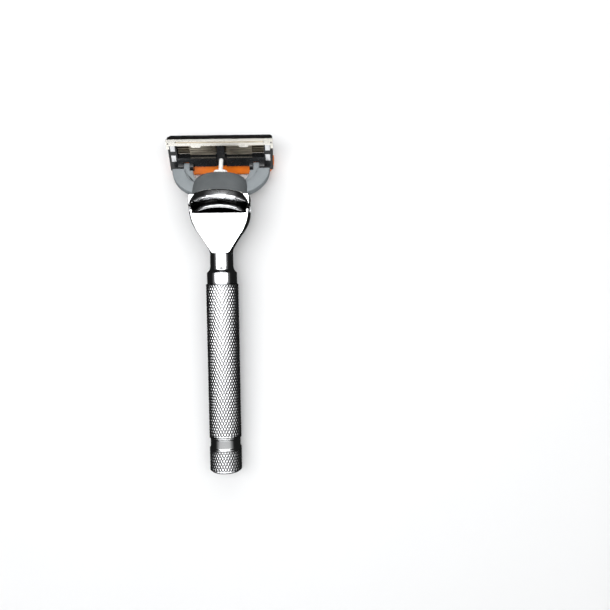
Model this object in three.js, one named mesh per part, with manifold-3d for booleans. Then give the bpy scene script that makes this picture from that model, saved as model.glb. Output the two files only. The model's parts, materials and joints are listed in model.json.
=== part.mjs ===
// A cartridge razor: a knurled metal handle with a chromed head, and a five-blade cartridge that
// plugs onto the head and pivots on it. Millimetres, +Z up.
//
// Three frames are nested. The handle frame has Y along the handle from the end of the pommel. The
// nose frame is tipped down from it, with Y along the oval nose that the cartridge plugs onto. The
// cartridge frame has Y from the guard to the cap and Z out of the cartridge's back.
import * as THREE from "three";
import { mergeVertices } from "three/addons/utils/BufferGeometryUtils.js";
import Module from "manifold-3d";

const wasm = await Module();
wasm.setup();

// ---------------------------------------------------------------- driving dimensions
const ROUND = 48; // sides of a turned piece
const FINE_ROUND = 20; // sides of a small pin or hole
const SEAM = 0.05; // gap left between pieces that meet face to face
const RUNNING = 0.05; // radial clearance of a turning or sliding fit

const POMMEL_LENGTH = 9;
const BAND_END = 14.4;
const GRIP_END = 75.3;
const NECK_END = 87.2;
const GRIP_RADIUS = 6.4;
const COLLAR_RADIUS = 5.9;
const NECK_RADIUS = 4.53;
const ROD_RADIUS = 2.4;
const ROD_BORE = 2.6;
const ROD_END = 93;

const NOSE_TIP_DOWN = 30; // degrees the nose axis dips below the handle axis
const NOSE_ORIGIN = [0, 109.4, 1.8]; // on the nose axis, handle frame
const OVAL = 0.525; // height over width of the ring, nose and hub
const RING_RADIUS = 12.1;
const RING_BORE = 11.3;
const RING_SPAN = [-4.5, -1]; // along the nose axis
const NOSE_RADIUS = 9.2;
const NOSE_LENGTH = 7.4;

const PLUNGER_HEIGHT = 1.4; // plunger axis above the nose axis
const PLUNGER_RADIUS = 0.85;
const PLUNGER_TIP = 17.26; // where its round end stops, along the nose axis
const PLUNGER_BORE = 1.7;
const GUIDE_END = 10.9;

const BUTTON_SPAN = [-6.9, -3.6]; // along the nose axis
const BUTTON_WALL = 0.45;
const ARCH = { base: -4.5, halfWidth: 10.9, rise: 7.73 }; // oval of the button's back, nose frame
const WELL_FLOOR = -2.2; // nose frame; the button's feet ride just above it
const WELL_BACK = -7.3;
const SLOT_BACK = -6.2; // the well opens through both sides ahead of this

const CONTACT_SPAN = 120; // from the pommel's rim to the guard's nose

const HUB_BACK = -0.85;
const SLEEVE_BORE = 9.5;

const CARTRIDGE_TILT = 36; // degrees the cartridge's back rises from the handle axis
const CARTRIDGE_ORIGIN = [0, 116.4, -11.2]; // on the plane of its back, handle frame
const PIVOT = { y: 7.3, z: -0.2 }; // cartridge frame
const PIVOT_ON_NOSE = { y: 15.71, z: -1.17 }; // the same line in the nose frame
const JOURNAL_RADIUS = 0.9;
const JOURNAL_ENDS = [11.6, 16.6]; // each journal's pin, across the razor
const FINGER = [12.7, 15.05];
const FINGER_RADIUS = 1.25;
const ARM_END = 13.2; // along the nose axis

const HOUSING_HALF_WIDTH = 20.6;
const HOUSING_TOP = 18.8;
const GUARD_BAR = [7.2, 10.9];
const GUARD_REAR = 9.9; // where the orange carrier meets the housing
const WINDOW = { halfWidth: 17.3, low: 10.9, high: 16.6 };
const SHAVE_SIDE = -3.95;
const CAM_DEPTH = -0.7;

const BLADES = 5;
const BLADE_PITCH = 1.02;
const FIRST_EDGE = 11.3;
const BLADE_THICK = 0.16;

// ---------------------------------------------------------------- materials
const finish = (color, roughness, metalness) => new THREE.MeshStandardMaterial({ color, roughness, metalness });
const CHROME = finish(0xd9dcde, 0.12, 1);
const KNURLED = finish(0xb9bcbf, 0.3, 1);
const STEEL = finish(0xa3a5a6, 0.35, 1);
const BLADE_STEEL = finish(0x9c9484, 0.3, 1);
const WHITE_PLASTIC = finish(0xe6e6e2, 0.4, 0);
const HUB_GREY = finish(0x565b5e, 0.6, 0);
const ARM_GREY = finish(0x84898c, 0.5, 0);
const BLACK_PLASTIC = finish(0x121314, 0.4, 0);
const ORANGE_PLASTIC = finish(0xf0780c, 0.45, 0);
const RUBBER = finish(0x1d2022, 0.8, 0);
const STRIP_PALE = finish(0xcfe0d6, 0.5, 0);

// ---------------------------------------------------------------- shape helpers
const radians = (degrees) => (degrees * Math.PI) / 180;

function box(x0, x1, y0, y1, z0, z1) {
  const block = new THREE.BoxGeometry(x1 - x0, y1 - y0, z1 - z0);
  return block.translate((x0 + x1) / 2, (y0 + y1) / 2, (z0 + z1) / 2);
}

function outline(points) {
  return new THREE.Shape(points.map(([u, v]) => new THREE.Vector2(u, v)));
}

function extrude(shape, length) {
  return new THREE.ExtrudeGeometry(shape, { depth: length, bevelEnabled: false, curveSegments: 10 });
}

// An (x, y) outline, extruded from z0 up to z1.
function platform(shape, z0, z1) {
  return extrude(shape, z1 - z0).translate(0, 0, z0);
}

// A (y, z) outline, extruded from x0 across to x1.
function crosswise(shape, x0, x1) {
  const turn = new THREE.Matrix4().makeBasis(
    new THREE.Vector3(0, 1, 0),
    new THREE.Vector3(0, 0, 1),
    new THREE.Vector3(1, 0, 0),
  );
  return extrude(shape, x1 - x0).applyMatrix4(turn).translate(x0, 0, 0);
}

// An (x, z) outline, extruded from y0 forward to y1.
function lengthwise(shape, y0, y1) {
  return extrude(shape, y1 - y0).rotateX(Math.PI / 2).translate(0, y1, 0);
}

// A solid of revolution about Y from [radius, y] points.
function turned(profile, sides = ROUND) {
  return new THREE.LatheGeometry(profile.map(([r, y]) => new THREE.Vector2(r, y)), sides);
}

// The same, flattened to the oval of the nose.
function ovalTurned(profile) {
  return turned(profile).scale(1, 1, OVAL);
}

function ovalPlug(radius, y0, y1) {
  return ovalTurned([[0, y0], [radius, y0], [radius, y1], [0, y1]]);
}

function rod(radius, y0, y1, sides = FINE_ROUND) {
  return turned([[0, y0], [radius, y0], [radius, y1], [0, y1]], sides);
}

function tube(inner, outer, y0, y1) {
  return turned([[inner, y0], [outer, y0], [outer, y1], [inner, y1], [inner, y0]]);
}

// A cylinder lying across the razor, from x0 to x1.
function crossPin(radius, x0, x1, y, z) {
  return rod(radius, x0, x1).rotateZ(-Math.PI / 2).translate(0, y, z);
}

class Helix extends THREE.Curve {
  constructor(radius, y0, y1, turns) {
    super();
    Object.assign(this, { radius, y0, y1, turns });
  }
  getPoint(t) {
    const angle = 2 * Math.PI * this.turns * t;
    const y = this.y0 + (this.y1 - this.y0) * t;
    return new THREE.Vector3(this.radius * Math.cos(angle), y, this.radius * Math.sin(angle));
  }
}

function coil(radius, wire, y0, y1, turns) {
  const section = new THREE.Shape().absarc(0, 0, wire, 0, 2 * Math.PI);
  const path = new Helix(radius, y0 + wire, y1 - wire, turns);
  const options = { steps: turns * 12, curveSegments: 3, extrudePath: path };
  return new THREE.ExtrudeGeometry(section, options);
}

// ---------------------------------------------------------------- joining and cutting
function solid(geometry) {
  const bare = geometry.index ? geometry.toNonIndexed() : geometry.clone();
  bare.deleteAttribute("normal");
  bare.deleteAttribute("uv");
  const merged = mergeVertices(bare, 1e-4);
  const vertProperties = merged.attributes.position.array;
  const triVerts = new Uint32Array(merged.index.array);
  return new wasm.Manifold(new wasm.Mesh({ numProp: 3, vertProperties, triVerts }));
}

const joined = (...pieces) => pieces.map(solid).reduce((a, b) => a.add(b));
const without = (body, ...cuts) => cuts.map(solid).reduce((a, b) => a.subtract(b), body);
const within = (body, limit) => body.intersect(solid(limit));

function geometryOf(body) {
  const { vertProperties, triVerts } = body.getMesh();
  const geometry = new THREE.BufferGeometry();
  geometry.setAttribute("position", new THREE.BufferAttribute(new Float32Array(vertProperties), 3));
  geometry.setIndex(new THREE.BufferAttribute(new Uint32Array(triVerts), 1));
  return geometry;
}

function part(name, shape, material, group) {
  const geometry = shape.isBufferGeometry ? shape : geometryOf(shape);
  const mesh = new THREE.Mesh(geometry, material);
  mesh.name = name;
  group.add(mesh);
}

// ---------------------------------------------------------------- the three frames
const razor = new THREE.Group();

const noseFrame = new THREE.Group();
noseFrame.position.set(...NOSE_ORIGIN);
noseFrame.rotation.x = -radians(NOSE_TIP_DOWN);
noseFrame.updateMatrix();
razor.add(noseFrame);

const cartridgeFrame = new THREE.Group();
cartridgeFrame.position.set(...CARTRIDGE_ORIGIN);
cartridgeFrame.rotation.x = radians(CARTRIDGE_TILT);
cartridgeFrame.updateMatrix();
razor.add(cartridgeFrame);

// A shape given in the nose frame, carried into the handle frame.
const fromNose = (geometry) => geometry.applyMatrix4(noseFrame.matrix);

// ---------------------------------------------------------------- handle
function pommel() {
  const chamfer = 0.7;
  return turned([
    [0, 0], [GRIP_RADIUS - chamfer, 0], [GRIP_RADIUS, chamfer], [GRIP_RADIUS, POMMEL_LENGTH],
    [ROD_BORE, POMMEL_LENGTH], [ROD_BORE, 3], [0, 3],
  ]);
}

function pommelBand() {
  const start = POMMEL_LENGTH + SEAM;
  const end = BAND_END - SEAM;
  const cove = 0.35;
  return turned([
    [ROD_BORE, start], [GRIP_RADIUS, start], [GRIP_RADIUS, start + 0.4], [GRIP_RADIUS - cove, start + 0.9],
    [GRIP_RADIUS - cove, end - 0.9], [GRIP_RADIUS, end - 0.4], [GRIP_RADIUS, end], [ROD_BORE, end],
    [ROD_BORE, start],
  ]);
}

function neck() {
  const start = GRIP_END + SEAM;
  return turned([
    [ROD_BORE, start], [COLLAR_RADIUS - 0.2, start], [COLLAR_RADIUS, start + 0.3], [COLLAR_RADIUS, 79.6],
    [COLLAR_RADIUS - 0.4, 80.1], [NECK_RADIUS + 0.3, 81], [NECK_RADIUS, 81.9], [NECK_RADIUS, NECK_END],
    [ROD_BORE, NECK_END], [ROD_BORE, start],
  ]);
}

// The head's flared plate: a plan outline and a side outline, each extruded and kept where they meet.
function plate() {
  const halfPlan = [[4.5, 87.25], [4.7, 88.5], [5.7, 90.4], [7.8, 93.7], [9.8, 96.4], [11.5, 100.2], [12.1, 104]];
  const right = halfPlan.map(([x, y]) => new THREE.Vector2(x, y));
  const left = halfPlan.map(([x, y]) => new THREE.Vector2(-x, y)).reverse();
  const plan = new THREE.Shape();
  plan.moveTo(right[0].x, right[0].y);
  plan.splineThru(right.slice(1));
  plan.lineTo(RING_RADIUS, 110);
  plan.lineTo(-RING_RADIUS, 110);
  plan.lineTo(left[0].x, left[0].y);
  plan.splineThru(left.slice(1));
  const side = outline([
    [87.25, -4.5], [95, -4.4], [104.7, -3.1], [108.6, 5.8], [96.4, 4], [91, 4.1], [87.25, 4.5],
  ]);
  const flare = turned([[0, 87.25], [NECK_RADIUS, 87.25], [30, 111], [0, 111]]);
  return within(within(solid(platform(plan, -8, 8)), crosswise(side, -14, 14)), flare);
}

// The nose's tail, seated in a socket under the well's floor.
const tail = (grow) => box(-4.5 - grow, 4.5 + grow, -5.8 - grow, -1, -4.6 - grow, -2.4 + grow);

function headCasting() {
  const [ringBack, ringFront] = RING_SPAN;
  const ring = fromNose(ovalPlug(RING_RADIUS, ringBack, ringFront));
  const ringBore = fromNose(ovalPlug(RING_BORE, ringBack - 0.3, 1));
  const well = fromNose(box(-10.6, 10.6, WELL_BACK, ringBack, WELL_FLOOR, 8));
  const slot = fromNose(box(-14, 14, SLOT_BACK, ringBack, WELL_FLOOR, 8));
  const thumbHollow = new THREE.SphereGeometry(1, 32, 16).scale(10.2, 3.4, 3.2).translate(0, 103.4, 4.6);
  const body = plate().add(solid(ring));
  const bored = without(body, ringBore, well, slot, thumbHollow);
  return without(bored, fromNose(tail(SEAM)), rod(ROD_BORE, 80, ROD_END + 0.5));
}

function dockingNose() {
  const back = -1.3;
  const plug = ovalTurned([
    [0, back], [NOSE_RADIUS, back], [NOSE_RADIUS, NOSE_LENGTH - 0.8], [NOSE_RADIUS - 0.8, NOSE_LENGTH], [0, NOSE_LENGTH],
  ]);
  const bore = rod(PLUNGER_BORE, 0.2, NOSE_LENGTH + 1).translate(0, 0, PLUNGER_HEIGHT);
  const prongSlot = (x0, x1) => box(x0, x1, back - 1, NOSE_LENGTH + 1, -0.6, 1.8);
  const body = joined(plug, tail(0));
  return geometryOf(without(body, bore, prongSlot(5.8, 7.4), prongSlot(-7.4, -5.8)));
}

// The oblong front bushing that guides the plunger; it stands out through the hub's front wall.
function plungerGuide() {
  const flat = 1.25;
  const end = 1.5;
  const boss = new THREE.Shape();
  boss.absarc(flat, PLUNGER_HEIGHT, end, -Math.PI / 2, Math.PI / 2);
  boss.absarc(-flat, PLUNGER_HEIGHT, end, Math.PI / 2, (3 * Math.PI) / 2);
  boss.closePath();
  const spigot = rod(PLUNGER_BORE - RUNNING, 6, NOSE_LENGTH + 0.5).translate(0, 0, PLUNGER_HEIGHT);
  const bore = rod(PLUNGER_RADIUS + RUNNING, 5, GUIDE_END + 1).translate(0, 0, PLUNGER_HEIGHT);
  return without(joined(lengthwise(boss, NOSE_LENGTH + SEAM, GUIDE_END), spigot), bore);
}

function plunger() {
  const shoulder = [4.7, 5.7];
  const tip = [];
  for (let i = 0; i <= 5; i += 1) {
    const angle = radians(18 * i);
    tip.push([PLUNGER_RADIUS * Math.cos(angle), PLUNGER_TIP + PLUNGER_RADIUS * (Math.sin(angle) - 1)]);
  }
  tip[tip.length - 1][0] = 0;
  return turned(
    [[0, shoulder[0]], [1.5, shoulder[0]], [1.5, shoulder[1]], [PLUNGER_RADIUS, shoulder[1]], ...tip],
    FINE_ROUND,
  ).translate(0, 0, PLUNGER_HEIGHT);
}

// ---------------------------------------------------------------- release button and ejector
// The upper part of an oval, down to the button's feet.
function archShape(inset) {
  const { base, halfWidth, rise } = ARCH;
  const foot = WELL_FLOOR + 0.2 - base;
  const start = Math.asin(foot / (rise - inset));
  const arch = new THREE.Shape();
  arch.absellipse(0, base, halfWidth - inset, rise - inset, start, Math.PI - start);
  arch.closePath();
  return arch;
}

// An arched shell closed by a wall at its back, where the thumb pushes.
function releaseButton() {
  const [back, front] = BUTTON_SPAN;
  const outside = lengthwise(archShape(0), back, front);
  const inside = lengthwise(archShape(BUTTON_WALL), back + 0.9, front + 1).translate(0, 0, -0.01);
  const feet = box(-14, 14, back + 0.9, front + 1, WELL_FLOOR, WELL_FLOOR + 0.3);
  return without(solid(outside), inside, feet);
}

function ejectorFork() {
  const bar = [-5.9, -4.7];
  const cross = box(-8.6, 8.6, bar[0], bar[1], -0.4, 1.9);
  const prong = (x0, x1) => box(x0, x1, bar[0], 5.1, -0.4, 1.6);
  const fork = joined(cross, prong(6, 7.2), prong(-7.2, -6));
  return within(fork, lengthwise(archShape(BUTTON_WALL + 0.1), -8, 8));
}

// ---------------------------------------------------------------- yoke
const guideHole = () => {
  const hole = new THREE.Shape();
  hole.absellipse(0, PLUNGER_HEIGHT, 3.05, 1.8, 0, 2 * Math.PI);
  return lengthwise(hole, 5, 12);
};

function armOutline(side) {
  const plan = new THREE.Shape();
  plan.moveTo(side * 9.6, 1);
  plan.bezierCurveTo(side * 13.5, 2.2, side * 19.3, 6, side * 19.45, ARM_END);
  plan.lineTo(side * 14.45, ARM_END);
  plan.bezierCurveTo(side * 14.1, 10.6, side * 12.6, 7, side * 9.6, 6.6);
  plan.closePath();
  return plan;
}

function webOutline(side) {
  const plan = new THREE.Shape();
  plan.moveTo(side * 9.6, 4);
  plan.lineTo(side * 15, 5);
  plan.lineTo(side * 15.1, ARM_END);
  plan.lineTo(side * 11.3, ARM_END);
  plan.quadraticCurveTo(side * 10.6, 9.6, side * 8.6, 7.4);
  plan.closePath();
  return plan;
}

// One arm: a raised outer band, a thinner web inside it, and a finger that reaches the pivot.
function arm(side, grow) {
  const near = FINGER[0] - grow;
  const far = FINGER[1] + grow;
  const span = side > 0 ? [near, far] : [-far, -near];
  const { y, z } = PIVOT_ON_NOSE;
  const root = ARM_END - 1.5;
  const finger = outline([[root, -1.6], [y, z - FINGER_RADIUS], [y, z + FINGER_RADIUS], [root, -0.5]]);
  return joined(
    platform(armOutline(side), -2 - grow, 0.9 + grow),
    platform(webOutline(side), -2 - grow, -0.4 + grow),
    crosswise(finger, ...span),
    crossPin(FINGER_RADIUS, ...span, y, z),
  );
}

const sleeveProfile = [[10.3, HUB_BACK], [10.2, 5.6], [9.4, 7.4], [8, 8.15]];

function yoke() {
  const sleeve = ovalTurned([[0, HUB_BACK], ...sleeveProfile, [0, 8.15]]);
  const socket = ovalPlug(SLEEVE_BORE, HUB_BACK - 1, 7.6);
  const hub = without(solid(sleeve), socket, guideHole());
  const { y, z } = PIVOT_ON_NOSE;
  const [inner, outer] = JOURNAL_ENDS;
  const journals = joined(
    crossPin(JOURNAL_RADIUS, inner, outer, y, z),
    crossPin(JOURNAL_RADIUS, -outer, -inner, y, z),
  );
  return without(arm(1, 0).add(arm(-1, 0)), socket).add(hub).add(journals);
}

function hubCover() {
  const gap = 0.06;
  const inside = sleeveProfile.map(([r, y]) => [r + gap, y]).reverse();
  const cover = ovalTurned([
    [11.1, HUB_BACK], [11, 4], [10.5, 6.6], [9.6, 8], [8.2, 8.7], [7.4, 8.7], [7.4, 8.25],
    [8 + gap, 8.25], ...inside.slice(1), [11.1, HUB_BACK],
  ]);
  return solid(cover).subtract(arm(1, SEAM)).subtract(arm(-1, SEAM));
}

// ---------------------------------------------------------------- cartridge
function roundedPlan(halfWidth, y0, y1, radius) {
  const plan = new THREE.Shape();
  plan.moveTo(-halfWidth, y0);
  plan.lineTo(halfWidth, y0);
  plan.lineTo(halfWidth, y1 - radius);
  plan.absarc(halfWidth - radius, y1 - radius, radius, 0, Math.PI / 2);
  plan.absarc(-halfWidth + radius, y1 - radius, radius, Math.PI / 2, Math.PI);
  plan.closePath();
  return plan;
}

// Each end clip's legs pass through these slots, near the guard and near the cap.
const CLIP = { x0: 17.75, x1: 19.7, low: 9.6, high: 17, thick: 0.3, front: -4.95, back: 0.32 };
function clipSlots(side) {
  const span = side > 0 ? [CLIP.x0 - SEAM, CLIP.x1 + SEAM] : [-CLIP.x1 - SEAM, -CLIP.x0 + SEAM];
  const lowSlot = box(...span, CLIP.low - SEAM, CLIP.low + CLIP.thick + SEAM, -6, 2);
  const highSlot = box(...span, CLIP.high - CLIP.thick - SEAM, CLIP.high + SEAM, -6, 2);
  return [lowSlot, highSlot];
}

// The bearings of one end: a lug on each side of the yoke's finger, the outer one on an end block.
function bearings(side) {
  const across = (x0, x1) => (side > 0 ? [x0, x1] : [-x1, -x0]);
  const lug = (x0, x1) => crossPin(1.9, ...across(x0, x1), PIVOT.y, PIVOT.z);
  const block = box(...across(FINGER[1] + 0.15, HOUSING_HALF_WIDTH), 5.6, GUARD_BAR[0] + 0.2, -1.7, 0);
  return joined(lug(11.2, FINGER[0] - 0.15), lug(FINGER[1] + 0.15, 17.2), block);
}

function journalBore(side) {
  const [x0, x1] = [JOURNAL_ENDS[0] - 0.1, JOURNAL_ENDS[1] + 0.1];
  return crossPin(JOURNAL_RADIUS + RUNNING, ...(side > 0 ? [x0, x1] : [-x1, -x0]), PIVOT.y, PIVOT.z);
}

function fingerPocket(side) {
  const [x0, x1] = [FINGER[0] - 0.15, FINGER[1] + 0.15];
  return box(...(side > 0 ? [x0, x1] : [-x1, -x0]), 5, 9, -1.8, 2);
}

function housing() {
  const frame = platform(roundedPlan(HOUSING_HALF_WIDTH, GUARD_BAR[0], HOUSING_TOP, 1.2), SHAVE_SIDE, 0);
  const carrierRoom = box(-22, 22, 3, GUARD_REAR + SEAM, -6, -1.7);
  const window = box(-WINDOW.halfWidth, WINDOW.halfWidth, WINDOW.low, WINDOW.high, -6, 2);
  const stripSeat = box(-17.6, 17.6, 16.8, 18.7, -6, -3.05);
  const camBar = box(-1.5, 1.5, GUARD_BAR[0] + 2, HOUSING_TOP - 1.5, -1.5, CAM_DEPTH);
  const camNotch = box(-2, 2, GUARD_BAR[0] - 1, GUARD_BAR[1] + 0.1, CAM_DEPTH, 2);
  const body = without(solid(frame), window, stripSeat, camNotch).add(solid(camBar));
  const ends = body.add(bearings(1)).add(bearings(-1));
  const cuts = [1, -1].flatMap((side) => [fingerPocket(side), journalBore(side), ...clipSlots(side)]);
  return without(ends, carrierRoom, ...cuts);
}

function guardCarrier() {
  const end = 20.9;
  const section = new THREE.Shape();
  section.moveTo(GUARD_REAR, -1.76);
  section.lineTo(GUARD_REAR, -3.6);
  section.lineTo(9.2, -4.05);
  section.lineTo(4.2, -4.05);
  section.quadraticCurveTo(2.2, -4, 2.2, -2.9);
  section.quadraticCurveTo(2.2, -1.9, 3.4, -1.76);
  const plan = new THREE.Shape();
  plan.moveTo(-end, 12);
  plan.lineTo(-end, 8);
  plan.quadraticCurveTo(-end, 2.1, -14, 2.1);
  plan.lineTo(14, 2.1);
  plan.quadraticCurveTo(end, 2.1, end, 8);
  plan.lineTo(end, 12);
  const bar = within(solid(crosswise(section, -end, end)), platform(plan, -6, 0));
  return without(bar, ...clipSlots(1), ...clipSlots(-1));
}

// Seven soft fins that stretch the skin ahead of the blades.
function guardFins() {
  const fins = 7;
  const pitch = 0.85;
  const start = 3.9;
  const floor = -4.1;
  const points = [[start, floor]];
  for (let i = 0; i < fins; i += 1) {
    const y = start + pitch * i;
    points.push([y, floor - 0.22], [y + 0.3, floor - 0.6], [y + 0.6, floor - 0.22]);
  }
  points.push([start + pitch * fins, floor - 0.22], [start + pitch * fins, floor]);
  return crosswise(outline(points.reverse()), -17.3, 17.3);
}

// A bent blade: a ground cutter on a leg, with two feet that show through the open back.
function blade(index) {
  const y = FIRST_EDGE + BLADE_PITCH * index;
  const edge = -4.5;
  const knee = [y + 0.94, -4.02];
  const cutter = outline([[y, edge], [knee[0], knee[1] - 0.12], [knee[0], knee[1]], [knee[0] - 0.3, knee[1]]]);
  const leg = box(-17.1, 17.1, knee[0] - BLADE_THICK, knee[0], -4.1, -1.85);
  const foot = (x0, x1) => box(x0, x1, y + 0.12, knee[0], -2.0, -1.85);
  return joined(crosswise(cutter, -18.9, 18.9), leg, foot(2.2, 12.4), foot(-12.4, -2.2));
}

function lubricatingStrip() {
  const section = new THREE.Shape();
  section.moveTo(18.65, -3.1);
  section.lineTo(18.65, -4.2);
  section.quadraticCurveTo(17.8, -4.75, 16.85, -4.35);
  section.lineTo(16.85, -3.1);
  return crosswise(section, -17.5, 17.5);
}

function clip(side) {
  const { x0, x1, low, high, thick, front, back } = CLIP;
  const span = side > 0 ? [x0, x1] : [-x1, -x0];
  return joined(
    box(...span, low, high, front, front + thick),
    box(...span, low, low + thick, front, back),
    box(...span, high - thick, high, front, back),
    box(...span, low, 12.3, SEAM, back),
    box(...span, 14, high, SEAM, back),
  );
}

function trimmerFrame() {
  const end = 20.95;
  const plan = new THREE.Shape();
  plan.moveTo(-end, 15.2);
  plan.lineTo(-19.9, 15.2);
  plan.lineTo(-19.9, 16.6);
  const tab = [[7.3, 16.6], [7.8, 15.8], [10.9, 15.8], [11.4, 16.6]];
  [...tab].reverse().forEach(([x, y]) => plan.lineTo(-x, y));
  tab.forEach(([x, y]) => plan.lineTo(x, y));
  plan.lineTo(19.9, 16.6);
  plan.lineTo(19.9, 15.2);
  plan.lineTo(end, 15.2);
  plan.lineTo(end, 18.9);
  plan.quadraticCurveTo(end, 19.4, end - 0.5, 19.4);
  plan.lineTo(-end + 0.5, 19.4);
  plan.quadraticCurveTo(-end, 19.4, -end, 18.9);
  plan.closePath();
  const sheet = platform(plan, 0.4, 0.75);
  const lip = box(-20.4, 20.4, 18.95, 19.4, -1.6, 0.6);
  const gap = box(-17.4, 17.4, 17.75, 18.35, -0.5, 2);
  const rivet = (x) => rod(0.3, -1, 2).rotateX(Math.PI / 2).translate(x, 17.6, 0.5);
  return without(joined(sheet, lip), gap, rivet(20.2), rivet(-20.2));
}

function trimmerBlade() {
  const section = outline([[17.1, 0.05], [17.9, 0.05], [18.1, 0.2], [17.9, 0.33], [17.1, 0.33]]);
  return crosswise(section, -17.2, 17.2);
}

// ---------------------------------------------------------------- assembly
part("pommel", pommel(), KNURLED, razor);
part("pommel_band", pommelBand(), CHROME, razor);
part("grip", tube(ROD_BORE, GRIP_RADIUS, BAND_END, GRIP_END), KNURLED, razor);
part("neck", neck(), CHROME, razor);
part("tie_rod", rod(ROD_RADIUS, 3.4, ROD_END), STEEL, razor);
part("head_casting", headCasting(), CHROME, razor);

part("release_button", releaseButton(), CHROME, noseFrame);
part("ejector_fork", ejectorFork(), WHITE_PLASTIC, noseFrame);
part("docking_nose", dockingNose(), STEEL, noseFrame);
part("plunger_guide", plungerGuide(), WHITE_PLASTIC, noseFrame);
part("plunger", plunger(), WHITE_PLASTIC, noseFrame);
part("plunger_spring", coil(1.2, 0.22, 0.3, 4.6, 5).translate(0, 0, PLUNGER_HEIGHT), STEEL, noseFrame);
part("button_spring", coil(0.85, 0.18, -4.6, -1.4, 5), STEEL, noseFrame);
part("yoke", yoke(), ARM_GREY, noseFrame);
part("hub_cover", hubCover(), HUB_GREY, noseFrame);

part("housing", housing(), BLACK_PLASTIC, cartridgeFrame);
part("guard_carrier", guardCarrier(), ORANGE_PLASTIC, cartridgeFrame);
part("guard_fins", guardFins(), RUBBER, cartridgeFrame);
for (let i = 0; i < BLADES; i += 1) {
  part("blade_" + (i + 1), blade(i), BLADE_STEEL, cartridgeFrame);
}
part("lubricating_strip", lubricatingStrip(), STRIP_PALE, cartridgeFrame);
part("clip_right", clip(1), STEEL, cartridgeFrame);
part("clip_left", clip(-1), STEEL, cartridgeFrame);
part("trimmer_frame", trimmerFrame(), CHROME, cartridgeFrame);
part("trimmer_blade", trimmerBlade(), STEEL, cartridgeFrame);

// The razor lies back up: it is tipped until the pommel's rim and the guard touch the ground
// together, then its box is centred over the origin.
function layDown() {
  const pommelMesh = razor.getObjectByName("pommel");
  const lowest = (object) => new THREE.Box3().setFromObject(object, true).min.z;
  for (let pass = 0; pass < 5; pass += 1) {
    razor.updateMatrixWorld(true);
    razor.rotation.x += (lowest(pommelMesh) - lowest(cartridgeFrame)) / CONTACT_SPAN;
  }
  razor.updateMatrixWorld(true);
  const extent = new THREE.Box3().setFromObject(razor, true);
  const middle = extent.getCenter(new THREE.Vector3());
  razor.position.set(-middle.x, -middle.y, -extent.min.z);
}
layDown();

export default razor;
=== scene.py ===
"""The cartridge razor's looks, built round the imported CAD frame."""
import json
import math

import bmesh
import bpy
import numpy as np
from mathutils import Matrix, Vector


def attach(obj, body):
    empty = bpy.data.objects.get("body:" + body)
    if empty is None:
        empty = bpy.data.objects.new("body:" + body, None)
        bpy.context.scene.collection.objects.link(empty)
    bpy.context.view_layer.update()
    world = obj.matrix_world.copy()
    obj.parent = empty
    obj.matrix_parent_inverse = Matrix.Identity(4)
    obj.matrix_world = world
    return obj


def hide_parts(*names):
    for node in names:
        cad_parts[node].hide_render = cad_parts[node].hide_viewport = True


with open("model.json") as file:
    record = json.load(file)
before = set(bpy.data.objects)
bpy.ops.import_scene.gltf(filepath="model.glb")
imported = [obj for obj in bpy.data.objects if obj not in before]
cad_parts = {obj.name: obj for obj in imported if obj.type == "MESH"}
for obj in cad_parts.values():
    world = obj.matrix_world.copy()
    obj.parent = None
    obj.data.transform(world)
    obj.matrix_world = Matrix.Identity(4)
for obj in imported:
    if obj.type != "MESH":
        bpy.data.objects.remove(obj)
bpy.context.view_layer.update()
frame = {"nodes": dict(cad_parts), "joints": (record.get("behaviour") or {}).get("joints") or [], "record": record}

MM = 0.001
RECORD = frame["record"]
JOINTS = {joint["name"]: joint for joint in frame["joints"]}

# ------------------------------------------------------------------ driving sizes, in millimetres
POMMEL_END, BAND_START, BAND_END, GRIP_END, NECK_END = 0.0, 9.0, 14.4, 75.3, 87.2
GRIP_R, COLLAR_R, NECK_R, BORE_R = 6.4, 5.9, 4.53, 2.6
SEAM = 0.05
NOSE_ORIGIN = (0.0, 109.4, 1.8)
OVAL = 0.525
RING_R, RING_BORE, RING_BACK, RING_FRONT = 12.1, 11.3, -4.5, -1.0
BUTTON_REAR, BUTTON_FRONT = -6.9, -3.6
ARCH_BASE, ARCH_HALF, ARCH_RISE = -4.5, 10.9, 7.73
WELL_FLOOR, WELL_BACK, SLOT_BACK = -2.2, -7.3, -6.2
HOLLOW_CENTRE, HOLLOW_RADII = (0, 103.4, 4.6), (10.2, 3.4, 3.2)  # the thumb hollow, in the handle's frame
HUB_BACK = -0.85
FINGER_IN, FINGER_OUT, FINGER_R, ARM_END = 12.7, 15.05, 1.25, 13.2
JOURNAL_R, JOURNAL_IN, JOURNAL_OUT = 0.9, 11.6, 16.6
PLUNGER_H, PLUNGER_R, PLUNGER_TIP = 1.4, 0.85, 17.26
PIVOT_IN_NOSE = (0.0, 15.71, -1.17)


# ------------------------------------------------------------------ the three frames
def placer(origin, y_axis):
    """A function from millimetres in a frame of this origin and Y axis to metres in the row frame."""
    x = Vector((1, 0, 0))
    y = Vector(y_axis).normalized()
    turn = np.array([x, y, x.cross(y)])
    base = np.array(origin, float)
    return lambda points: base + (np.asarray(points, float) * MM) @ turn


POMMEL_FACE = next(m for m in RECORD["mounts"] if m["name"] == "pommel_end")
HANDLE_AXIS = -Vector(POMMEL_FACE["axis"])
HANDLE_UP = Vector((1, 0, 0)).cross(HANDLE_AXIS)
in_handle = placer(POMMEL_FACE["pos_m"], HANDLE_AXIS)
in_nose = placer(in_handle([NOSE_ORIGIN])[0], JOINTS["cartridge_dock"]["axis"])


# ------------------------------------------------------------------ materials
def node(tree, kind, **values):
    made = tree.nodes.new(kind)
    for key, value in values.items():
        setattr(made, key, value)
    return made


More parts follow.
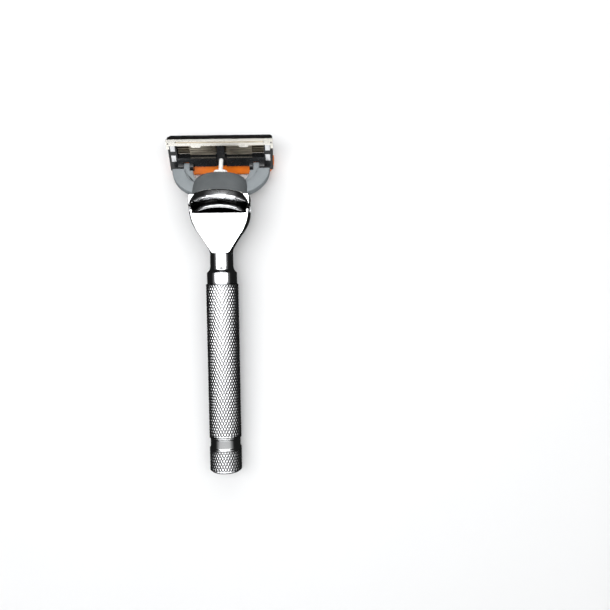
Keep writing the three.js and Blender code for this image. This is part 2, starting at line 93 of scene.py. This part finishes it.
def noise(tree, coordinate, scale, detail=4.0, stretch=(1, 1, 1)):
    """A noise texture over the object's own metres; scale counts features per metre."""
    mapping = node(tree, "ShaderNodeMapping")
    mapping.inputs["Scale"].default_value = stretch
    tree.links.new(coordinate, mapping.inputs["Vector"])
    texture = node(tree, "ShaderNodeTexNoise")
    texture.inputs["Scale"].default_value = scale
    texture.inputs["Detail"].default_value = detail
    tree.links.new(mapping.outputs["Vector"], texture.inputs["Vector"])
    return texture.outputs["Fac"]


def spread(tree, value, low, high, centre=0.5, reach=0.22):
    """A 0 to 1 noise value, stretched over low to high."""
    span = node(tree, "ShaderNodeMapRange")
    span.inputs["From Min"].default_value = centre - reach
    span.inputs["From Max"].default_value = centre + reach
    span.inputs["To Min"].default_value = low
    span.inputs["To Max"].default_value = high
    tree.links.new(value, span.inputs["Value"])
    return span.outputs["Result"]


def mixed(tree, factor, first, second):
    mix = node(tree, "ShaderNodeMix", data_type="RGBA")
    mix.inputs["A"].default_value = (*first, 1)
    mix.inputs["B"].default_value = (*second, 1)
    tree.links.new(factor, mix.inputs["Factor"])
    return mix.outputs["Result"]


def finish(name, colours, roughness, metallic=0.0, tint_scale=150.0, rough_scale=400.0,
           bump=0.0, bump_scale=4000.0, stretch=(1, 1, 1)):
    """A procedural finish: two colours mottled together, uneven roughness, and fine relief."""
    made = bpy.data.materials.new(name)
    made.use_nodes = True
    tree = made.node_tree
    shader = tree.nodes["Principled BSDF"]
    coordinate = node(tree, "ShaderNodeTexCoord").outputs["Object"]
    tint = spread(tree, noise(tree, coordinate, tint_scale, stretch=stretch), 0, 1)
    tree.links.new(mixed(tree, tint, *colours), shader.inputs["Base Color"])
    gloss = spread(tree, noise(tree, coordinate, rough_scale, stretch=stretch), *roughness)
    tree.links.new(gloss, shader.inputs["Roughness"])
    shader.inputs["Metallic"].default_value = metallic
    if bump:
        relief = node(tree, "ShaderNodeBump")
        relief.inputs["Strength"].default_value = 1.0
        relief.inputs["Distance"].default_value = bump * MM
        tree.links.new(noise(tree, coordinate, bump_scale, stretch=stretch), relief.inputs["Height"])
        tree.links.new(relief.outputs["Normal"], shader.inputs["Normal"])
    return made


def knurled_finish():
    """Chrome with painted shade in its grooves, darkening and dulling the colour there; the mesh stores how deep
    each point lies.
    """
    made = finish("knurled_chrome", ((0.8, 0.81, 0.82), (0.72, 0.73, 0.75)), (0.16, 0.28), 1.0)
    tree = made.node_tree
    shader = tree.nodes["Principled BSDF"]
    depth = node(tree, "ShaderNodeAttribute", attribute_name="groove").outputs["Fac"]
    # Painted shade: the colour is mixed towards dark grey where the groove mask is high.
    painted_shade = node(tree, "ShaderNodeMix", data_type="RGBA")
    painted_shade.inputs["B"].default_value = (0.12, 0.12, 0.125, 1)
    tree.links.new(depth, painted_shade.inputs["Factor"])
    tree.links.new(shader.inputs["Base Color"].links[0].from_socket, painted_shade.inputs["A"])
    tree.links.new(painted_shade.outputs["Result"], shader.inputs["Base Color"])
    return made


def chrome_finish():
    """Polished chrome, its colour darkened by painted shade where it is recessed."""
    made = finish("polished_chrome", ((0.88, 0.89, 0.9), (0.83, 0.84, 0.86)), (0.05, 0.1), 1.0)
    tree = made.node_tree
    shader = tree.nodes["Principled BSDF"]
    # Painted shade: ambient occlusion mixes the colour towards near-black in recesses.
    recess = node(tree, "ShaderNodeAmbientOcclusion", samples=8)
    recess.inputs["Distance"].default_value = 3.5 * MM
    painted_shade = node(tree, "ShaderNodeMix", data_type="RGBA")
    painted_shade.inputs["A"].default_value = (0.035, 0.034, 0.032, 1)
    tree.links.new(spread(tree, recess.outputs["AO"], 0, 1, centre=0.62, reach=0.2), painted_shade.inputs["Factor"])
    tree.links.new(shader.inputs["Base Color"].links[0].from_socket, painted_shade.inputs["B"])
    tree.links.new(painted_shade.outputs["Result"], shader.inputs["Base Color"])
    return made


CHROME = chrome_finish()
KNURLED = knurled_finish()
SPRING = finish("spring_steel", ((0.6, 0.6, 0.62), (0.42, 0.42, 0.44)), (0.2, 0.4), 1.0, bump=0.004)
BLADE = finish("blade_steel", ((0.5, 0.45, 0.36), (0.3, 0.27, 0.22)), (0.22, 0.45), 1.0,
               tint_scale=900, stretch=(0.25, 1, 1), bump=0.003, bump_scale=5000)
TRIMMER = finish("trimmer_steel", ((0.93, 0.91, 0.85), (0.84, 0.82, 0.76)), (0.12, 0.24), 1.0,
                 stretch=(0.1, 1, 1), bump=0.0015, bump_scale=3000)
CLIP = finish("clip_aluminium", ((0.9, 0.91, 0.92), (0.76, 0.77, 0.79)), (0.25, 0.42), 1.0,
              tint_scale=700, bump=0.004, bump_scale=3500)
WHITE = finish("white_plastic", ((0.86, 0.86, 0.85), (0.78, 0.78, 0.76)), (0.28, 0.42), bump=0.003)
DARK = finish("dark_plastic", ((0.05, 0.052, 0.055), (0.03, 0.031, 0.034)), (0.4, 0.6), bump=0.006)
ARM = finish("arm_grey", ((0.25, 0.275, 0.29), (0.2, 0.222, 0.236)), (0.34, 0.5), bump=0.007,
             bump_scale=3500)
HUB = finish("hub_grey", ((0.105, 0.115, 0.12), (0.08, 0.088, 0.092)), (0.42, 0.6), bump=0.012,
             bump_scale=3200)
BLACK = finish("black_plastic", ((0.014, 0.015, 0.017), (0.008, 0.009, 0.01)), (0.18, 0.36), bump=0.005)
ORANGE = finish("orange_plastic", ((0.95, 0.22, 0.008), (0.88, 0.17, 0.004)), (0.3, 0.48), bump=0.005)
RUBBER = finish("fin_rubber", ((0.03, 0.034, 0.038), (0.018, 0.02, 0.023)), (0.6, 0.8), bump=0.012)
STRIP = finish("strip_polymer", ((0.6, 0.72, 0.66), (0.68, 0.78, 0.73)), (0.35, 0.6), bump=0.02,
               bump_scale=1800)


# ------------------------------------------------------------------ mesh building
def grid_faces(rows, columns, wrap_rows=False):
    """Quads over a grid of rows by columns of points, whose columns close on themselves."""
    faces = []
    for r in range(rows if wrap_rows else rows - 1):
        below, above = r * columns, (r + 1) % rows * columns
        for c in range(columns):
            d = (c + 1) % columns
            faces.append((below + c, below + d, above + d, above + c))
    return faces


def caps(rows, columns):
    """The two end faces of such a grid."""
    last = (rows - 1) * columns
    return [tuple(range(columns))[::-1], tuple(range(last, last + columns))]


def mesh_object(name, points, faces):
    mesh = bpy.data.meshes.new(name)
    mesh.from_pydata([tuple(p) for p in points], [], faces)
    made = bpy.data.objects.new(name, mesh)
    bpy.context.scene.collection.objects.link(made)
    return made


def tidy_normals(made, sharp):
    bm = bmesh.new()
    bm.from_mesh(made.data)
    bmesh.ops.recalc_face_normals(bm, faces=bm.faces)
    bm.to_mesh(made.data)
    bm.free()
    made.data.shade_smooth()
    made.data.set_sharp_from_angle(angle=math.radians(sharp))


def settle(made, material, body, stands_for=(), sharp=32):
    """Gives a piece its finish and its body, and hides the CAD nodes that it stands for."""
    tidy_normals(made, sharp)
    made.data.materials.clear()
    made.data.materials.append(material)
    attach(made, body)
    if stands_for:
        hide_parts(*stands_for)
    return made


def filleted(points, radius, steps=5, closed=True):
    """A polyline whose corners are rounded to a radius, or as near as its sides allow."""
    pts = [np.array(p, float) for p in points]
    radii = radius if hasattr(radius, "__len__") else [radius] * len(pts)
    out = []
    for i, corner in enumerate(pts):
        if not closed and i in (0, len(pts) - 1):
            out.append(corner)
            continue
        before, after = pts[i - 1] - corner, pts[(i + 1) % len(pts)] - corner
        la, lb = np.linalg.norm(before), np.linalg.norm(after)
        half = math.acos(max(-1, min(1, before @ after / (la * lb)))) / 2
        cut = min(radii[i] / max(math.tan(half), 1e-6), 0.49 * la, 0.49 * lb)
        if cut < 1e-4 or half > math.radians(89):
            out.append(corner)
            continue
        a, b = corner + before / la * cut, corner + after / lb * cut
        for k in range(steps + 1):
            t = k / steps
            out.append((1 - t) ** 2 * a + 2 * t * (1 - t) * corner + t ** 2 * b)
    return [tuple(p) for p in out]


def ring_points(profile, sides, oval=1.0, lift=0.0):
    """Each [radius, y] point of a profile, turned round the Y axis."""
    angle = np.linspace(0, 2 * math.pi, sides, endpoint=False)
    rows = []
    for r, y in profile:
        rows.append(np.stack([r * np.cos(angle), np.full(sides, y), lift + oval * r * np.sin(angle)], 1))
    return np.concatenate(rows)


def turned(name, place, profile, sides=128, oval=1.0, lift=0.0, closed=True):
    """A turned piece; its profile closes on itself, or ends in two caps."""
    faces = grid_faces(len(profile), sides, wrap_rows=closed)
    if not closed:
        faces += caps(len(profile), sides)
    return mesh_object(name, place(ring_points(profile, sides, oval, lift)), faces)


def plug(name, place, radius, y0, y1, sides=128, oval=1.0):
    """A plain round or oval cylinder, used to cut with."""
    line = [(0.02, y0), (radius, y0), (radius, y1), (0.02, y1)]
    return turned(name, place, line, sides, oval, closed=False)


AXES = {"plan": (0, 1, 2), "side": (1, 2, 0), "front": (0, 2, 1)}


def slab(name, place, outline, low, high, look="plan", bevel=0.12, segments=3):
    """An outline given square to one axis, made solid from low to high, its rims rounded."""
    first, second, third = AXES[look]
    points = np.zeros((2 * len(outline), 3))
    for i, (u, v) in enumerate(outline):
        points[[i, i + len(outline)], first] = u
        points[[i, i + len(outline)], second] = v
        points[i, third], points[i + len(outline), third] = low, high
    count = len(outline)
    faces = grid_faces(2, count) + caps(2, count)
    made = mesh_object(name, place(points), faces)
    bm = bmesh.new()
    bm.from_mesh(made.data)
    bmesh.ops.recalc_face_normals(bm, faces=bm.faces)
    if bevel:
        rims = [e for e in bm.edges if any(len(f.verts) == count for f in e.link_faces)]
        bmesh.ops.bevel(bm, geom=rims, offset=bevel * MM, segments=segments, profile=0.5, affect="EDGES",
                        clamp_overlap=True)
    bm.to_mesh(made.data)
    bm.free()
    return made


def block(name, place, x0, x1, y0, y1, z0, z1):
    """A plain block, used only to cut with."""
    return slab(name, place, [(x0, y0), (x1, y0), (x1, y1), (x0, y1)], z0, z1, bevel=0)


def combine(base, others, operation):
    """Joins other solids to base, or cuts them out of it, and removes them."""
    for other in others:
        step = base.modifiers.new("step", "BOOLEAN")
        step.operation = operation
        step.solver = "MANIFOLD"
        step.object = other
        bake(base)
        bpy.data.objects.remove(other)
    return base


def bake(made):
    """Makes a piece's modifiers part of its mesh."""
    depsgraph = bpy.context.evaluated_depsgraph_get()
    mesh = bpy.data.meshes.new_from_object(made.evaluated_get(depsgraph))
    made.modifiers.clear()
    made.data = mesh


def soften(made, width, angle=30, segments=2):
    """Rounds the edges of a finished solid."""
    step = made.modifiers.new("soften", "BEVEL")
    step.width = width * MM
    step.segments = segments
    step.limit_method = "ANGLE"
    step.angle_limit = math.radians(angle)
    step.harden_normals = False


# ------------------------------------------------------------------ handle
KNURL_ROUND = 34  # diamonds round the grip
KNURL_PITCH = 2.27  # length of a diamond
KNURL_CUT = 4  # mesh steps across half a diamond
KNURL_DEPTH = 0.3
KNURL_RIM = 0.3  # length of the bevel at a sleeve's end
KNURL_END_CUT = 0.35  # how far that bevel is turned down
KNURL_FADE = 0.35  # length over which the grooves run out


def knurled_sleeve(name, y0, y1, radius):
    """A sleeve cut with two crossing sets of helical grooves, its ends turned down to plain rims."""
    columns = KNURL_ROUND * 2 * KNURL_CUT
    step = KNURL_PITCH / (2 * KNURL_CUT)
    rows = int(round((y1 - y0 - 2 * KNURL_RIM) / step))
    y = np.linspace(y0 + KNURL_RIM, y1 - KNURL_RIM, rows + 1)[:, None]
    turn = np.linspace(0, 1, columns, endpoint=False)[None, :]
    right = KNURL_ROUND * turn + (y - y0) / KNURL_PITCH
    left = KNURL_ROUND * turn - (y - y0) / KNURL_PITCH
    away = np.minimum(np.abs((right + 0.5) % 1 - 0.5), np.abs((left + 0.5) % 1 - 0.5)) * 2
    dome = np.abs(np.sin(math.pi * right) * np.sin(math.pi * left)) ** 0.55
    fade = np.clip(np.minimum(y - y0 - KNURL_RIM, y1 - KNURL_RIM - y) / KNURL_FADE, 0, 1)
    depth = (1 - dome) * KNURL_DEPTH * fade
    crest = radius - depth
    bore = np.full(columns, BORE_R)
    end = np.full(columns, radius - KNURL_END_CUT)
    rows_r = [bore, end, *crest, end, bore]
    rows_y = [y0, y0, *y[:, 0], y1, y1]
    angle = 2 * math.pi * turn[0]
    points = np.concatenate([np.stack([rr * np.cos(angle), np.full(columns, yy), rr * np.sin(angle)], 1)
                             for rr, yy in zip(rows_r, rows_y)])
    made = mesh_object(name, in_handle(points), grid_faces(len(rows_r), columns, wrap_rows=True))
    # Mask for the painted shade in the grooves: 1 along the groove lines, 0 on the crests.
    groove = np.zeros((len(rows_r), columns))
    groove[2:-2] = np.clip(1 - away * 2.2, 0, 1) ** 1.5 * fade
    layer = made.data.attributes.new("groove", "FLOAT", "POINT")
    layer.data.foreach_set("value", groove.ravel())
    return made


def grip():
    made = knurled_sleeve("grip_knurled", BAND_END, GRIP_END, GRIP_R)
    settle(made, KNURLED, "handle", ["grip"], sharp=60)


def pommel():
    sleeve = knurled_sleeve("pommel_knurled", POMMEL_END + 0.35, BAND_START, GRIP_R)
    settle(sleeve, KNURLED, "handle", ["pommel"], sharp=60)
    line = [(0.05, 0.0), (5.7, 0.0), (6.05, 0.4), (6.05, 0.34), (BORE_R - 0.05, 0.34), (BORE_R - 0.05, 3.0),
            (0.05, 3.0)]
    cap_line = filleted(line, [0, 0.25, 0, 0, 0, 0, 0], closed=False)
    settle(turned("pommel_end_cap", in_handle, cap_line, closed=False), CHROME, "handle")


def pommel_band():
    """The polished ring: two lips with a shallow cove between them."""
    start, end = BAND_START + SEAM, BAND_END - SEAM
    r, floor = GRIP_R - 0.02, GRIP_R - 0.42
    line = [(BORE_R, start), (r, start), (r, start + 0.55), (floor, start + 1.0), (floor, end - 1.0),
            (r, end - 0.55), (r, end), (BORE_R, end)]
    lips = filleted(line, [0.05, 0.12, 0.2, 0.35, 0.35, 0.2, 0.12, 0.05])
    band = turned("pommel_band_polished", in_handle, lips)
    settle(band, CHROME, "handle", ["pommel_band"])


def neck():
    start = GRIP_END + SEAM
    line = filleted([(BORE_R, start), (COLLAR_R, start), (COLLAR_R, 79.75), (COLLAR_R - 0.5, 80.15),
                     (NECK_R + 0.25, 81.0), (NECK_R, 82.2), (NECK_R, NECK_END), (BORE_R, NECK_END)],
                    [0.05, 0.25, 0.22, 0.5, 0.8, 1.2, 0.1, 0.05], steps=7)
    made = turned("neck_polished", in_handle, line)
    settle(made, CHROME, "handle", ["neck"], sharp=28)


# ------------------------------------------------------------------ head
def curve_value(keys, t):
    """A smooth value through (t, value) keys, with no overshoot between them."""
    ts, vs = np.array([k[0] for k in keys], float), np.array([k[1] for k in keys], float)
    slope = np.diff(vs) / np.diff(ts)
    tangent = np.zeros(len(ts))
    tangent[0], tangent[-1] = slope[0], slope[-1]
    for i in range(1, len(ts) - 1):
        if slope[i - 1] * slope[i] > 0:
            tangent[i] = 2 * slope[i - 1] * slope[i] / (slope[i - 1] + slope[i])
    i = int(np.clip(np.searchsorted(ts, t) - 1, 0, len(ts) - 2))
    span = ts[i + 1] - ts[i]
    u = min(max((t - ts[i]) / span, 0), 1)
    return ((1 + 2 * u) * (1 - u) ** 2 * vs[i] + u * (1 - u) ** 2 * span * tangent[i]
            + u ** 2 * (3 - 2 * u) * vs[i + 1] + u ** 2 * (u - 1) * span * tangent[i + 1])


CREASE = 96.4
FACET = [(87.2, 4.53), (87.6, 4.3), (88.6, 4.18), (CREASE, 4.0), (112.0, 6.4)]
HALF_WIDTH = [(87.2, 4.53), (88.4, 4.66), (90.4, 5.6), (93.7, 7.75), (96.4, 9.7), (100.2, 11.5),
              (103.5, 12.0), (108.5, 12.05)]
DROP = [(87.2, 4.53), (93, 4.45), (96.4, 4.4), (101, 4.9), (104, 5.6), (108.5, 6.1)]
CREST = [(87.2, 4.53), (88.2, 6.6), (89.5, 7.6), (92, 8.4), (108.5, 8.6)]
SQUARE = [(87.2, 2.0), (92, 2.35), (108.5, 2.4)]
TIP = [(87.2, 0), (CREASE, 0), (107.06, 30), (108.5, 30)]
RISE = [(87.2, 0), (CREASE, 0), (101.5, 1.2), (107.06, 3.15), (108.5, 2.3)]


def facet_height(y):
    """The flat top of the head is two planes that meet in a straight crease."""
    ys, zs = zip(*FACET)
    return float(np.interp(y, ys, zs))


def head_section(t, across=20, side=34):
    """One closed section of the head: a flat top, and full round sides and underside."""
    tip = math.radians(curve_value(TIP, t))
    centre = np.array([t, curve_value(RISE, t)])
    up = np.array([math.sin(tip), math.cos(tip)])
    half, drop, crest, power = (curve_value(keys, t) for keys in (HALF_WIDTH, DROP, CREST, SQUARE))
    top = 4.0
    for _ in range(4):
        top = (facet_height(centre[0] + top * up[0]) - centre[1]) / up[1]
    top = min(top, crest * 0.9999)
    edge = half * max(1 - (top / crest) ** power, 1e-6) ** (1 / power)
    ring = [(x, top) for x in np.linspace(-edge, edge, across, endpoint=False)]
    start = math.asin((top / crest) ** (power / 2))
    angles = np.linspace(start, -math.pi / 2, side, endpoint=False)
    arc = [(half * abs(math.cos(a)) ** (2 / power),
            math.copysign((crest if a > 0 else drop) * abs(math.sin(a)) ** (2 / power), a)) for a in angles]
    ring += arc + [(0.0, -drop)] + [(-x, v) for x, v in reversed(arc[1:])]
    return [(x, centre[0] + v * up[0], centre[1] + v * up[1]) for x, v in ring]


def ellipsoid(name, place, centre, radii, rows=28, sides=96):
    """An ellipsoid with its poles on the Y axis, each cut flat."""
    a, b, c = radii
    profile = [(a * math.sin(t), -b * math.cos(t)) for t in np.linspace(0.05, math.pi - 0.05, rows)]
    points = ring_points(profile, sides, oval=c / a) + np.array(centre)
    return mesh_object(name, place(points), grid_faces(rows, sides) + caps(rows, sides))


def head_casting():
    root = [87.25, 87.4, 87.6, 87.9, 88.3, 88.8]
    stations = [*root, *np.linspace(89.4, CREASE, 12), *np.linspace(97.1, 108.0, 18)]
    sections = [head_section(t) for t in stations]
    columns = len(sections[0])
    faces = grid_faces(len(sections), columns) + caps(len(sections), columns)
    body = mesh_object("head_chromed", in_handle(np.concatenate(sections)), faces)
    tidy_normals(body, 30)
    rim = [(0.02, RING_BACK), (RING_R - 0.2, RING_BACK), (RING_R, RING_BACK + 0.7),
           (RING_R, RING_FRONT - 0.5), (RING_R - 0.15, RING_FRONT), (0.02, RING_FRONT)]
    ring_line = filleted(rim, [0, 0.3, 0.6, 0.4, 0.15, 0], closed=False)
    ring = turned("ring", in_nose, ring_line, oval=OVAL, closed=False, sides=192)
    combine(body, [ring], "UNION")
    bore_line = [(0.02, RING_BACK - 0.4), (RING_BORE, RING_BACK - 0.4), (RING_BORE, RING_FRONT - 0.25),
                 (RING_BORE + 0.3, RING_FRONT + 0.3), (0.02, RING_FRONT + 0.3)]
    bore = turned("bore", in_nose, bore_line, oval=OVAL, closed=False, sides=160)
    well = block("well", in_nose, -10.6, 10.6, WELL_BACK, RING_BACK, WELL_FLOOR, 8.0)
    slot = block("slot", in_nose, -14.0, 14.0, SLOT_BACK, RING_BACK, WELL_FLOOR, 8.0)
    hollow = ellipsoid("hollow", in_handle, HOLLOW_CENTRE, HOLLOW_RADII)
    socket = block("socket", in_nose, -4.55, 4.55, -5.85, -0.9, -4.65, -2.35)
    stud = plug("stud", in_handle, BORE_R, 80, 93.6, sides=48)
    combine(body, [bore, hollow, well, slot, socket, stud], "DIFFERENCE")
    soften(body, 0.12)
    settle(body, CHROME, "handle", ["head_casting"], sharp=11)


def arched(name, stations, steps=73):
    """A solid of half-oval sections square to the nose axis; a station is (place on it, offset)."""
    rows = []
    for s, off in stations:
        angles = np.linspace(0, math.pi, steps)
        rise = max(ARCH_RISE + off, 0.05)
        half = max(ARCH_HALF + off, 0.05)
        rows.append([(half * math.cos(a), s, ARCH_BASE + rise * math.sin(a)) for a in angles])
    faces = grid_faces(len(rows), steps) + caps(len(rows), steps)
    return mesh_object(name, in_nose(np.concatenate(rows)), faces)


def release_button():
    """The thumb slider: an arched shell with a beaded rear lip round a shallow dish."""
    back = [(BUTTON_FRONT, -0.5), (-4.2, -0.42), (-5.2, -0.2), (-5.7, 0.12), (BUTTON_REAR + 0.35, 0.25),
            (BUTTON_REAR, -0.25), (BUTTON_REAR + 0.05, -0.7), (-6.3, -1.05), (-6.2, -2.6), (-6.15, -7.6)]
    back = filleted(back, [0, 0.5, 1.0, 0.5, 0.5, 0.35, 0.3, 0.6, 1.0, 0], steps=6, closed=False)
    shell = arched("release_button_chromed", back)
    tidy_normals(shell, 30)
    inside = arched("inside", [(BUTTON_FRONT + 1, -0.95), (-5.5, -0.95), (-5.6, -7.6)])
    below = block("below", in_nose, -13, 13, -9, 0, -8, WELL_FLOOR + 0.15)
    combine(shell, [inside, below], "DIFFERENCE")
    settle(shell, CHROME, "release", ["release_button"], sharp=40)


# ------------------------------------------------------------------ plunger and its guide
def plunger():
    tip = [(PLUNGER_R * math.cos(a), PLUNGER_TIP + PLUNGER_R * (math.sin(a) - 1))
           for a in np.linspace(0, 1.5, 9)]
    line = [(0.05, 4.7), (1.5, 4.7), (1.5, 5.7), (PLUNGER_R, 5.7), *tip]
    settle(turned("plunger_pin", in_nose, line, sides=48, lift=PLUNGER_H, closed=False), WHITE, "plunger",
           ["plunger"])


def plunger_guide():
    arc = np.linspace(-math.pi / 2, math.pi / 2, 13)
    oblong = [(1.25 + 1.5 * math.cos(a), PLUNGER_H + 1.5 * math.sin(a)) for a in arc]
    oblong += [(-x, z) for x, z in reversed(oblong)]
    boss = slab("plunger_guide_boss", in_nose, oblong, 7.45, 10.9, look="front", bevel=0.3, segments=4)
    radius = PLUNGER_R + 0.06
    line = [(0.02, 6.0), (radius, 6.0), (radius, 10.7), (1.2, 11.2), (0.02, 11.2)]
    bore = turned("bore", in_nose, line, sides=48, lift=PLUNGER_H, closed=False)
    combine(boss, [bore], "DIFFERENCE")
    settle(boss, WHITE, "handle", ["plunger_guide"])


# ------------------------------------------------------------------ yoke and hub
def hub_cover():
    line = [(11.1, HUB_BACK), (11.12, 0.5), (10.9, 0.8), (10.75, 4.4), (10.3, 6.6), (9.4, 8.1), (8.1, 8.7),
            (7.4, 8.72), (7.35, 8.25)]
    outer = filleted(line, [0.2, 0.2, 0.3, 2.0, 1.5, 1.2, 0.6, 0.15, 0], steps=7, closed=False)
    inner = [(8.06, 8.2), (9.46, 7.45), (10.26, 5.62), (10.36, HUB_BACK)]
    settle(turned("hub_shell", in_nose, [*outer, *inner], sides=160, oval=OVAL), HUB, "yoke",
           ["hub_cover"], sharp=40)


def bezier(p0, p1, p2, p3, steps=16):
    p0, p1, p2, p3 = (np.array(p, float) for p in (p0, p1, p2, p3))
    return [tuple((1 - t) ** 3 * p0 + 3 * t * (1 - t) ** 2 * p1 + 3 * t ** 2 * (1 - t) * p2 + t ** 3 * p3)
            for t in np.linspace(0, 1, steps)]


def mirrored(points, side):
    return [(side * x, y) for x, y in points]


def yoke():
    line = [(0.02, HUB_BACK), (10.3, HUB_BACK), (10.2, 5.6), (9.4, 7.4), (8.0, 8.15), (0.02, 8.15)]
    sleeve_line = filleted(line, [0, 0.1, 1, 0.8, 0.3, 0], closed=False)
    sleeve = turned("yoke_frame", in_nose, sleeve_line, oval=OVAL, closed=False, sides=128)
    _, y, z = PIVOT_IN_NOSE
    angles = np.linspace(0, 2 * math.pi, 36, endpoint=False)
    parts = []
    for side in (1, -1):
        outer = bezier((9.6, 1.0), (13.5, 2.2), (19.3, 6.0), (19.45, ARM_END))
        inner = bezier((14.45, ARM_END), (14.1, 10.6), (12.6, 7.0), (9.6, 6.6))
        band = mirrored([*outer, *inner], side)
        parts.append(slab("band", in_nose, band, -2.0, 0.9, bevel=0.5, segments=5))
        web = [(9.0, 4.0), (15.0, 5.0), (15.1, ARM_END - 0.05), (11.35, ARM_END - 0.05),
               *bezier((11.3, 12.6), (11.0, 10.6), (10.2, 8.8), (8.4, 7.3), 8)]
        parts.append(slab("web", in_nose, mirrored(web, side), -2.0, -0.4, bevel=0.25))
        tip = [(y + FINGER_R * math.cos(a), z + FINGER_R * math.sin(a)) for a in np.linspace(-1.5, 1.5, 13)]
        finger = [(ARM_END - 1.5, -1.6), *tip, (ARM_END - 1.5, -0.5)]
        low, high = sorted((side * FINGER_IN, side * FINGER_OUT))
        parts.append(slab("finger", in_nose, finger, low, high, look="side", bevel=0.2))
        pin = [(y + JOURNAL_R * math.cos(a), z + JOURNAL_R * math.sin(a)) for a in angles]
        low, high = sorted((side * JOURNAL_IN, side * JOURNAL_OUT))
        parts.append(slab("journal", in_nose, pin, low, high, look="side", bevel=0.1))
    combine(sleeve, parts, "UNION")
    socket = plug("socket", in_nose, 9.5, -2.0, 7.6, oval=OVAL)
    oblong = [(3.05 * math.cos(a), PLUNGER_H + 1.8 * math.sin(a)) for a in angles]
    guide_hole = slab("guide_hole", in_nose, oblong, 7, 9, look="front", bevel=0)
    combine(sleeve, [socket, guide_hole], "DIFFERENCE")
    settle(sleeve, ARM, "yoke", ["yoke"], sharp=35)


# ------------------------------------------------------------------ CAD nodes that keep their shape
def dress(names, material, width=0.06, angle=30, segments=2):
    """A CAD node keeps its shape: its facets are merged to flats, its edges rounded, its finish set."""
    for name in names:
        made = frame["nodes"][name]
        made.data.materials.clear()
        made.data.materials.append(material)
        weld = made.modifiers.new("weld", "WELD")
        weld.merge_threshold = 2e-6
        flats = made.modifiers.new("flats", "DECIMATE")
        flats.decimate_type = "DISSOLVE"
        flats.angle_limit = math.radians(1.5)
        if width:
            soften(made, width, angle, segments)


# ------------------------------------------------------------------ floor, light and camera
def floor():
    size = 0.9
    corners = [(-size, -size, 0), (size, -size, 0), (size, size, 0), (-size, size, 0)]
    made = mesh_object("floor", corners, [(0, 1, 2, 3)])
    made.data.materials.append(finish("floor_paper", ((0.74, 0.745, 0.75), (0.76, 0.765, 0.77)), (0.6, 0.75),
                                      tint_scale=6, bump=0.02, bump_scale=900))
    made.visible_glossy = False


def soft_world():
    """Bright overhead and dark low down, so that chrome shows dark sides."""
    world = bpy.data.worlds.new("studio")
    bpy.context.scene.world = world
    world.use_nodes = True
    tree = world.node_tree
    direction = node(tree, "ShaderNodeTexCoord").outputs["Generated"]
    split = node(tree, "ShaderNodeSeparateXYZ")
    tree.links.new(direction, split.inputs["Vector"])
    ramp = node(tree, "ShaderNodeValToRGB")
    stops = [(0.0, 0.02), (0.30, 0.03), (0.55, 0.35), (0.75, 0.9), (1.0, 1.0)]
    ramp.color_ramp.elements[0].position = stops[0][0]
    ramp.color_ramp.elements[0].color = (stops[0][1],) * 3 + (1,)
    ramp.color_ramp.elements[1].position = stops[-1][0]
    ramp.color_ramp.elements[1].color = (stops[-1][1],) * 3 + (1,)
    for place, level in stops[1:-1]:
        element = ramp.color_ramp.elements.new(place)
        element.color = (level, level, level, 1)
    tree.links.new(split.outputs["Z"], ramp.inputs["Fac"])
    back = tree.nodes["Background"]
    tree.links.new(ramp.outputs["Color"], back.inputs["Color"])
    back.inputs["Strength"].default_value = 0.6


def softbox(name, at, size, power, aim=(0, 0, 0)):
    data = bpy.data.lights.new(name, "AREA")
    data.shape = "RECTANGLE"
    data.size, data.size_y = size
    data.energy = power
    lamp = bpy.data.objects.new(name, data)
    lamp.location = at
    lamp.rotation_euler = (Vector(aim) - Vector(at)).to_track_quat("-Z", "Y").to_euler()
    bpy.context.scene.collection.objects.link(lamp)


def lights():
    softbox("left_box", (-0.2, 0.05, 0.55), (0.36, 0.6), 2.0)
    softbox("right_box", (0.2, 0.05, 0.55), (0.36, 0.6), 1.6)
    softbox("low_card", (-0.05, -0.75, 0.2), (0.8, 0.34), 1.7)
    softbox("far_card", (0.0, 0.62, 0.5), (0.8, 0.3), 1.8)


CAMERA_AT = (32.7, 84.87, 257.73)  # handle frame, millimetres
CAMERA_LEAN = math.radians(4.1)  # the view axis leans towards the pommel
CAMERA_ROLL = math.radians(-0.75)
FOCAL_PIXELS, FRAME_PIXELS, SENSOR = 650.0, 610.0, 36.0


def camera():
    data = bpy.data.cameras.new("camera")
    data.sensor_width = SENSOR
    data.lens = FOCAL_PIXELS / FRAME_PIXELS * SENSOR
    data.clip_start = 0.01
    made = bpy.data.objects.new("camera", data)
    handle_turn = Matrix((Vector((1, 0, 0)), HANDLE_AXIS, HANDLE_UP)).transposed()
    turn = handle_turn @ Matrix.Rotation(-CAMERA_LEAN, 3, "X") @ Matrix.Rotation(CAMERA_ROLL, 3, "Z")
    made.matrix_world = Matrix.Translation(in_handle([CAMERA_AT])[0]) @ turn.to_4x4()
    bpy.context.scene.collection.objects.link(made)
    bpy.context.scene.camera = made


# ------------------------------------------------------------------ assembly
camera()
grip()
pommel()
pommel_band()
neck()
head_casting()
release_button()
plunger()
plunger_guide()
hub_cover()
yoke()
dress(["tie_rod", "plunger_spring", "button_spring"], SPRING, width=0)
dress(["ejector_fork"], WHITE)
dress(["docking_nose"], DARK)
dress(["housing"], BLACK, width=0.1)
dress(["guard_carrier"], ORANGE, width=0.15, segments=3)
dress(["guard_fins"], RUBBER, width=0.05)
dress([f"blade_{i}" for i in range(1, 6)], BLADE, width=0.02)
dress(["lubricating_strip"], STRIP, width=0.1)
dress(["clip_right", "clip_left"], CLIP, width=0.08)
dress(["trimmer_frame"], TRIMMER, width=0.1)
dress(["trimmer_blade"], BLADE, width=0.03)
floor()
soft_world()
lights()
bpy.context.scene.view_settings.view_transform = "Standard"
